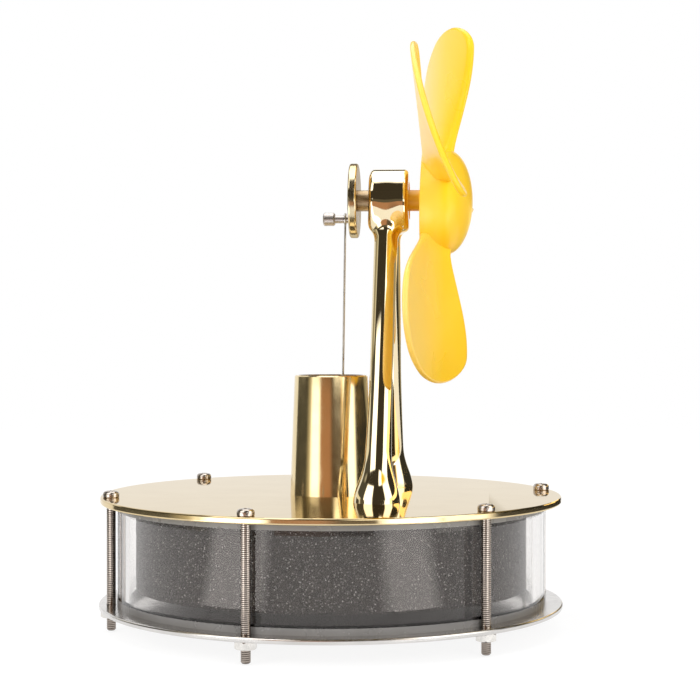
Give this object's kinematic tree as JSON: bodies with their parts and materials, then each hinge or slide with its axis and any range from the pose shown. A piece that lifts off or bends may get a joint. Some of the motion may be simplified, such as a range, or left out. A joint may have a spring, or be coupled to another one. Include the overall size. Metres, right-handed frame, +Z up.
{
  "type": "stirling engine",
  "caption": "Low-temperature Stirling engine: round plates tied by screws around a clear ring, foam displacer, tapered power cylinder, and a splayed frame carrying a crank and a plastic fan.",
  "frame": {"origin": "centre of the footprint, on the floor plane where the tie screws' ends stand", "axes": "+Z up along the power cylinder's axis, +X along the crankshaft towards the fan, +Y away from the pictured side"},
  "size_m": [0.1006, 0.1006, 0.1314],
  "materials": {
    "gold_plate": "mirror polished, gold coloured",
    "gold_metal": "mirror polished, gold coloured",
    "polished_aluminium": "polished",
    "clear_acrylic": "clear, polished",
    "clear_rubber": "milky silicone",
    "steel_hardware": "plain steel",
    "bearing_steel": "ground steel",
    "spacer_metal": "turned",
    "nickel_pin": "nickel plated",
    "steel_wire": "drawn spring wire",
    "yellow_plastic": "glossy, slightly translucent",
    "graphite": "machined graphite",
    "grey_foam": "closed-cell foam with pale flecks"
  },
  "bodies": {
    "engine": {"bottom_plate": "polished_aluminium", "lower_gasket": "clear_rubber", "acrylic_ring": "clear_acrylic", "upper_gasket": "clear_rubber", "top_plate": "gold_plate", "tie_screws": "steel_hardware", "tie_nuts": "steel_hardware", "power_cylinder": "gold_metal", "a_frame": "gold_metal", "frame_screws": "steel_hardware", "bearing_outer_rings": "bearing_steel"},
    "rotor": {"crankshaft": "bearing_steel", "bearing_inner_rings": "bearing_steel", "bearing_balls": "bearing_steel", "crank_spacer": "spacer_metal", "fan_spacer": "yellow_plastic", "crank_disc": "gold_metal", "crank_pin": "nickel_pin", "fan": "yellow_plastic"},
    "rod": {"connecting_rod": "steel_wire"},
    "piston": {"power_piston": "graphite", "piston_magnet": "nickel_pin", "wrist_bracket": "gold_metal", "wrist_pin": "nickel_pin"},
    "floating_displacer": {"displacer": "grey_foam", "displacer_armature": "steel_hardware"}
  },
  "joints": [
    {"name": "crank_spin", "type": "hinge", "parent": "engine", "child": "rotor", "pos_m": [0.0123, 0, 0.0923], "axis": [1, 0, 0], "continuous": true},
    {"name": "rod_on_pin", "type": "hinge", "parent": "rotor", "child": "rod", "pos_m": [0.0031, 0, 0.0883], "axis": [1, 0, 0], "continuous": true},
    {"name": "piston_slide", "type": "slide", "parent": "engine", "child": "piston", "axis": [0, 0, 1], "range_m": [0, 0.008]},
    {"name": "displacer_lift", "type": "slide", "parent": "engine", "child": "floating_displacer", "axis": [0, 0, 1], "range_m": [-0.0032, 0]}
  ],
  "couplings": [
    {"joint": "rod_on_pin", "follows": "crank_spin", "ratio": -1}
  ]
}
